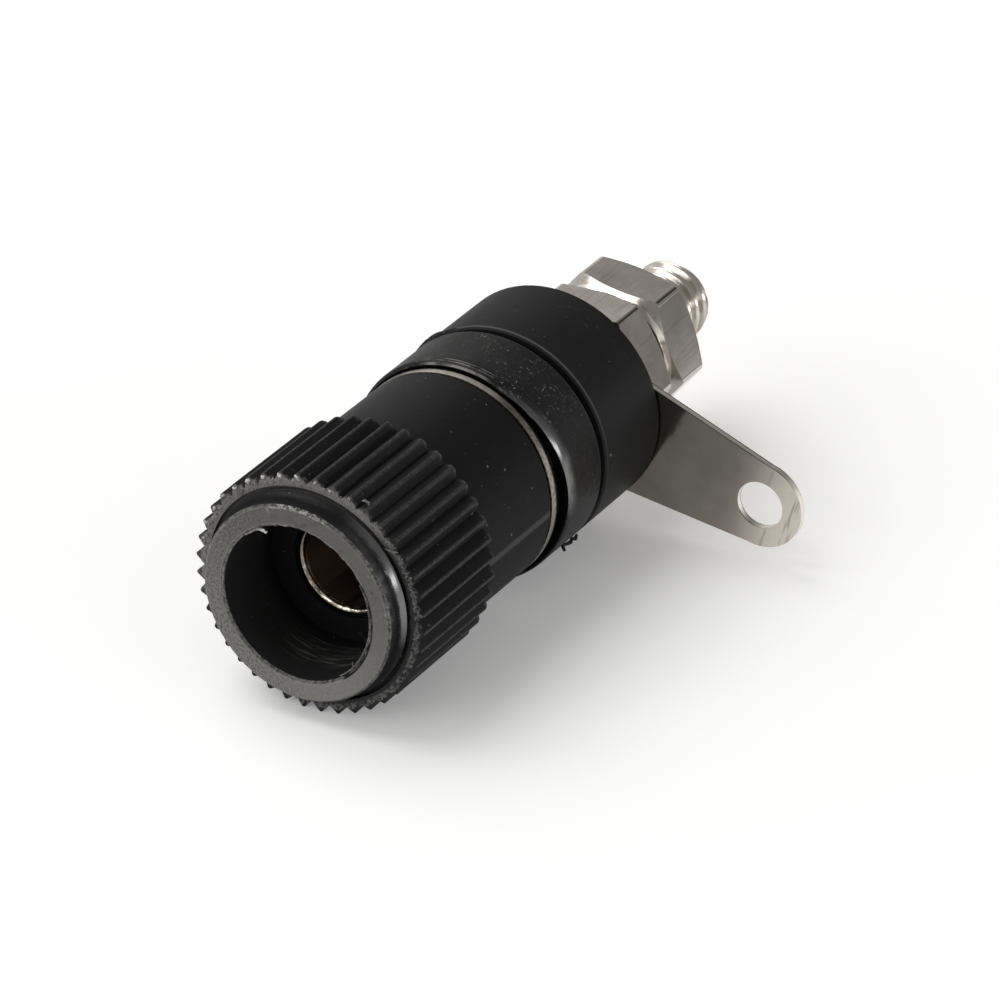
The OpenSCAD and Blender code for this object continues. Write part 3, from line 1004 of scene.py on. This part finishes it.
def make_post(material):
    """The post with its threads cut, M6 with a relief and M4 on the stud, and a dished rim."""
    piece = link_mesh("threaded_post", merged_copy("post"))
    cutters = (
        dish_cutter("rim_dish", front_y=NOSE_Y - 0.05, front_r=SOCKET_R + 0.26, depth=0.16, back_r=SOCKET_R),
        groove_cutter(
            "stud_groove",
            outer_r=STUD_R,
            depth=0.40,
            pitch=STUD_PITCH,
            start_y=LOCK_NUT_Y + 1.2,
            end_y=STUD_END_Y + STUD_PITCH,
        ),
        groove_cutter(
            "post_groove",
            outer_r=POST_THREAD_R,
            depth=0.52,
            pitch=POST_PITCH,
            start_y=NOSE_Y + 0.3,
            end_y=COLLAR_FRONT_Y - 0.5,
        ),
        neck_cutter(
            "thread_relief",
            inner_r=POST_THREAD_R - 0.54,
            outer_r=POST_THREAD_R + 0.1,
            front_y=COLLAR_FRONT_Y - 1.0,
            back_y=COLLAR_FRONT_Y - 0.02,
        ),
    )
    for cutter in cutters:
        cut_away(piece, cutter)
    smooth(piece, 35)
    carry(piece, "socket_body", material)
    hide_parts("post")


def make_collar(material):
    """The front bushing with its front rim falling away on the right, which opens a gap there."""
    rim_r, rim_depth = BARREL_R - 0.1, 0.32
    bm = merged_copy("front_bushing")
    for vert in bm.verts:
        x, y, z = vert.co / MM
        if math.hypot(x, z) > rim_r and y < COLLAR_FRONT_Y + rim_depth:
            turned = math.atan2(z, x) - math.radians(GAP_CLOCK)
            fall = GAP_FALL * max(math.cos(turned), 0.0) ** 2
            bmesh.ops.translate(bm, vec=(0, fall * MM, 0), verts=[vert])
    piece = link_mesh("gapped_collar", bm)
    smooth(piece, 35)
    carry(piece, "socket_body", material)
    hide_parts("front_bushing")


def strand(bm, points, radii):
    """Adds a thin closed string of plastic through a few points, in millimetres."""
    heading = points[1] - points[0]
    turn = Vector((0, 0, 1)).rotation_difference(heading)
    last = len(points) - 1
    for i, (point, radius) in enumerate(zip(points, radii)):
        fresh = points[min(i + 1, last)] - points[max(i - 1, 0)]
        turn = heading.rotation_difference(fresh) @ turn
        heading = fresh
        place = Matrix.Translation(point) @ turn.to_matrix().to_4x4() @ Matrix.Scale(radius, 4)
        if i == 0:
            ring = bmesh.ops.create_circle(bm, cap_ends=True, segments=6, radius=1.0, matrix=place)
            cap = ring["verts"][0].link_faces[0]
        else:
            cap = bmesh.ops.extrude_discrete_faces(bm, faces=[cap])["faces"][0]
            step = place @ before.inverted()
            bmesh.ops.transform(bm, matrix=step, space=Matrix.Identity(4), verts=cap.verts)
        before = place
    bmesh.ops.holes_fill(bm, edges=[e for e in bm.edges if e.is_boundary], sides=0)


def finish_flash(name, bm, body, material):
    """Makes a piece of flash that was shaped in millimetres, and hangs it on its body."""
    bmesh.ops.recalc_face_normals(bm, faces=bm.faces)
    bmesh.ops.scale(bm, vec=(MM, MM, MM), verts=bm.verts)
    piece = link_mesh(name, bm)
    smooth(piece, 50)
    carry(piece, body, material)


def make_collar_flash(material):
    """Curl of flash that hangs from the collar's side, a little in front of the panel seat."""
    clock = -42.6
    bm = bmesh.new()
    curl = ((0.30, 0.07), (0.05, 0.16), (-0.12, 0.07), (-0.35, 0.15), (-0.65, 0.09), (-0.95, 0.0))
    strand(bm, [on_axis(clock, BUSHING_R + off, y) for y, off in curl], (0.06, 0.11, 0.09, 0.10, 0.08, 0.08))
    foot = ((-0.93, -0.02), (-1.00, 0.14), (-1.06, 0.28))
    strand(bm, [on_axis(clock, BUSHING_R + off, y) for y, off in foot], (0.07, 0.08, 0.06))
    finish_flash("collar_flash", bm, "socket_body", material)


def make_bushing_flash(material):
    """Thin fin along the rear bushing's front rim, on its upper left."""
    first_clock, last_clock, steps = 116.0, 152.0, 18
    thinnest, tallest, flatness = 0.03, 0.17, 0.35
    fin_y = REAR_BUSHING_Y + 0.1
    points, radii = [], []
    for i in range(steps + 1):
        share = i / steps
        clock = first_clock + share * (last_clock - first_clock)
        points.append(on_axis(clock, BUSHING_R - 0.02, fin_y))
        radii.append(thinnest + tallest * math.sin(math.pi * share) * draw.uniform(0.75, 1.0))
    bm = bmesh.new()
    strand(bm, points, radii)
    bmesh.ops.scale(bm, vec=(1, flatness, 1), space=Matrix.Translation((0, -fin_y, 0)), verts=bm.verts)
    finish_flash("bushing_flash", bm, "socket_body", material)


def mouth_crumbs(bm):
    """Adds ragged crumbs along the inner edge of the mouth."""
    edge_r, edge_y = RECESS_R + 0.05, MOUTH_Y + 0.07
    for start in range(0, 360, 15):
        reach = draw.uniform(5.0, 13.0)
        clocks = [start + reach * share for share in (0.0, 0.3, 0.55, 0.8, 1.0)]
        points = [on_axis(c, edge_r + draw.uniform(-0.03, 0.02), edge_y) for c in clocks]
        strand(bm, points, [draw.uniform(0.012, 0.045) for _ in clocks])


def loose_seam(bm):
    """Adds a wavering seam that has come loose on the right of the mouth."""
    first_clock, last_clock, steps = 30.0, -54.0, 14
    seam_r, seam_y = RECESS_R - 0.045, MOUTH_Y + 0.10
    thinnest, swell = 0.03, 0.025
    points, radii = [], []
    for i in range(steps + 1):
        share = i / steps
        clock = first_clock + share * (last_clock - first_clock)
        waver = 0.012 * math.sin(5.0 * share) + 0.008 * math.sin(17.0 * share)
        points.append(on_axis(clock, seam_r + waver, seam_y))
        radii.append(thinnest + swell * math.sin(math.pi * share))
    strand(bm, points, radii)


def make_mouth_flash(material):
    """Crumbs on the inner edge of the mouth, a hair that hangs into it, a loose seam and two bits."""
    bm = bmesh.new()
    mouth_crumbs(bm)
    hair = ((133.4, 3.72), (128.7, 3.69), (122.5, 3.70), (119.2, 3.66), (116.6, 3.54), (114.7, 3.42))
    points = [on_axis(clock, r, MOUTH_Y + 0.06) for clock, r in hair]
    strand(bm, points, (0.04, 0.05, 0.05, 0.07, 0.08, 0.06))
    loose_seam(bm)
    spike = ((-40.5, 3.68), (-39.0, 3.56), (-37.0, 3.43))
    strand(bm, [on_axis(clock, r, MOUTH_Y + 0.11) for clock, r in spike], (0.04, 0.03, 0.015))
    speck = ((-61.8, 3.71), (-63.4, 3.69))
    strand(bm, [on_axis(clock, r, MOUTH_Y + 0.07) for clock, r in speck], (0.05, 0.04))
    finish_flash("mouth_flash", bm, "thumb_nut", material)


def crumb(bm, clock, radius, along, size):
    """Adds a torn crumb of about this size, in millimetres."""
    spread = [size * draw.uniform(*share) for share in ((0.6, 1.3), (0.5, 1.1), (0.3, 0.7))]
    turn = Matrix.Rotation(draw.uniform(0, math.pi), 4, "Y")
    lean = Matrix.Rotation(draw.uniform(-0.6, 0.6), 4, "X")
    place = Matrix.Translation(on_axis(clock, radius, along)) @ turn @ lean @ Matrix.Diagonal((*spread, 1))
    bmesh.ops.create_icosphere(bm, subdivisions=1, radius=1.0, matrix=place)


def make_rib_burrs(material):
    """Torn crumbs where the ribs meet the shoulder and on their tips, with a sliver and a curl."""
    root_size, flank_size, tip_size = 0.09, 0.12, 0.15
    first_torn_tip, last_torn_tip = 92, 155
    bm = bmesh.new()
    spacing = 360 / RIB_COUNT
    for rib in range(RIB_COUNT):
        rib_clock = RIB_ANGLE + spacing * rib
        for _ in range(draw.choice((3, 4, 4, 5))):
            clock = rib_clock + spacing * draw.uniform(0.0, 1.0)
            radius = draw.uniform(RIB_ROOT_R - 0.06, RIB_ROOT_R + 0.10)
            crumb(bm, clock, radius, SHOULDER_Y + draw.uniform(-0.02, 0.06), root_size)
        for _ in range(draw.choice((0, 1, 1, 2))):
            clock = rib_clock + draw.uniform(-0.8, 0.8)
            radius = draw.uniform(RIB_ROOT_R + 0.12, GRIP_R - 0.10)
            crumb(bm, clock, radius, SHOULDER_Y + draw.uniform(-0.03, 0.05), flank_size)
        if first_torn_tip < rib_clock % 360 < last_torn_tip:
            clock = rib_clock + draw.uniform(-0.6, 0.6)
            crumb(bm, clock, GRIP_R - draw.uniform(0.12, 0.22), SHOULDER_Y - 0.02, tip_size)
    sliver = ((40.5, 5.11, -0.05), (38.1, 5.37, -0.09), (36.2, 5.58, -0.04))
    strand(bm, [on_axis(clock, r, SHOULDER_Y + y) for clock, r, y in sliver], (0.03, 0.05, 0.03))
    curl = ((63.8, 5.60, 0.42), (62.8, 5.74, 0.40), (60.8, 5.76, 0.40), (60.0, 5.60, 0.40))
    strand(bm, [on_axis(clock, r, SHOULDER_Y + y) for clock, r, y in curl], (0.04, 0.06, 0.06, 0.04))
    finish_flash("rib_burrs", bm, "thumb_nut", material)


# Floor and room
TABLE_WHITE = (0.93, 0.93, 0.93, 1)
FAR_GREY = (0.30, 0.30, 0.30, 1)
ROOM_TINT = (1, 0.985, 0.96, 1)
# Way from the part to a dark patch of the room's rear wall
DARK_WALL = (0.30, 0.76, 0.577)


def make_floor():
    """White table whose far part falls off to grey."""
    half_side, clearance = 1.6, 0.02 * MM
    near_mm, far_mm, glow = 72.0, 105.0, 0.18
    bm = bmesh.new()
    bmesh.ops.create_grid(bm, x_segments=1, y_segments=1, size=half_side)
    bmesh.ops.translate(bm, verts=bm.verts, vec=(0, 0, cad_low.z - clearance))
    floor = link_mesh("floor", bm)
    material, tree, shader, place = new_material("white_table")
    away = add(tree, "ShaderNodeVectorMath", {0: place["Millimetres"]}, operation="LENGTH").outputs["Value"]
    # painted shade: the table's colour and glow fade to grey away from the part
    lit = ease(tree, away, near_mm, far_mm, 1.0, 0.0)
    tree.links.new(blend_colour(tree, lit, FAR_GREY, TABLE_WHITE), shader.inputs["Base Color"])
    shader.inputs["Roughness"].default_value = 0.8
    shader.inputs["Specular IOR Level"].default_value = 0.0
    ray = add(tree, "ShaderNodeLightPath").outputs
    mirrored = maths(tree, "MAXIMUM", ray["Is Glossy Ray"], ray["Is Transmission Ray"])
    seen = maths(tree, "MAXIMUM", ray["Is Camera Ray"], mirrored)
    tree.links.new(product(tree, seen, lit, glow), shader.inputs["Emission Strength"])
    shader.inputs["Emission Color"].default_value = (1, 1, 1, 1)
    dress(floor, material)


def light_room():
    """Grey room, brighter in front and on the left, with two softboxes and a low strip on the right."""
    base_level, front_lift, left_lift, dark_drop = 0.30, 0.5, 0.4, -0.8
    world = bpy.data.worlds.new("room")
    scene.world = world
    world.use_nodes = True
    tree = world.node_tree
    background = tree.nodes["Background"]
    way = add(tree, "ShaderNodeTexCoord").outputs["Generated"]
    parts = add(tree, "ShaderNodeSeparateXYZ", {0: way}).outputs
    low = ease(tree, parts[2], 0.02, 0.3, 1.0, 0.0)
    ahead = ease(tree, parts[1], 0.5, -0.3)
    leftward = ease(tree, parts[0], -0.15, -0.55)
    towards_dark = add(tree, "ShaderNodeVectorMath", {0: way, 1: DARK_WALL}, operation="DOT_PRODUCT")
    dark = ease(tree, towards_dark.outputs["Value"], 0.955, 0.985)
    level = maths(tree, "MULTIPLY_ADD", product(tree, low, ahead), front_lift, base_level)
    level = maths(tree, "MULTIPLY_ADD", leftward, left_lift, level)
    level = maths(tree, "MULTIPLY_ADD", product(tree, dark, level), dark_drop, level)
    tree.links.new(level, background.inputs["Strength"])
    background.inputs["Color"].default_value = ROOM_TINT
    softbox("lit_upper_left", azimuth=-85, elevation=60, distance=0.6, width=0.50, height=0.50, watts=1.8)
    softbox("front", azimuth=-22, elevation=28, distance=0.7, width=0.60, height=0.35, watts=1.3)
    softbox("right_strip", azimuth=92, elevation=9, distance=0.5, width=0.75, height=0.08, watts=1.0)


place_camera()
make_floor()
light_room()

nut_plate = metal(
    "nut_plate",
    tint=(0.60, 0.56, 0.525, 1),
    shade=(0.50, 0.46, 0.425, 1),
    rough=0.13,
    lines=(3.0, 0.5, 3.0),
    line_scale=3.0,
    bump_strength=0.05,
    marks=nut_marks,
)
post_plate = metal(
    "post_plate",
    tint=(0.70, 0.66, 0.60, 1),
    shade=(0.56, 0.51, 0.45, 1),
    rough=0.2,
    lines=(0.5, 6.0, 0.5),
    line_scale=3.0,
    bump_strength=0.06,
    marks=socket_marks,
)
washer_plate = metal(
    "washer_plate",
    tint=(0.78, 0.73, 0.68, 1),
    shade=(0.56, 0.52, 0.47, 1),
    rough=0.3,
    lines=(2.0, 9.0, 2.0),
    line_scale=2.0,
    bump_strength=0.3,
    marks=washer_marks,
)
lug_tin = metal(
    "lug_tin",
    tint=(0.305, 0.284, 0.25, 1),
    shade=(0.265, 0.245, 0.212, 1),
    rough=0.10,
    lines=(1.2, 1.0, 6.0),
    line_scale=1.6,
    bump_strength=0.05,
    marks=lug_marks,
    form=lug_bend,
)
turned_brass = metal(
    "turned_brass",
    tint=(0.62, 0.44, 0.17, 1),
    shade=(0.46, 0.31, 0.11, 1),
    rough=0.28,
    lines=(0.5, 9.0, 0.5),
    line_scale=3.0,
    bump_strength=0.1,
)
dark_flash = flash_plastic("dark_flash", WORN_BLACK)
pale_flash = flash_plastic("pale_flash", FRESH_TEAR)

make_post(post_plate)
make_collar(collar_plastic())
make_collar_flash(dark_flash)
make_bushing_flash(dark_flash)
make_mouth_flash(pale_flash)
make_rib_burrs(pale_flash)

for name, material in (
    ("thumb_nut", cap_plastic()),
    ("thread_insert", turned_brass),
    ("clamp_washer", washer_plate),
    ("rear_bushing", bushing_plastic()),
    ("solder_lug", lug_tin),
    ("spring_washer", washer_plate),
    ("lug_nut", nut_plate),
    ("lock_nut", nut_plate),
):
    dress(nodes[name], material)

scene.view_settings.view_transform = "Standard"
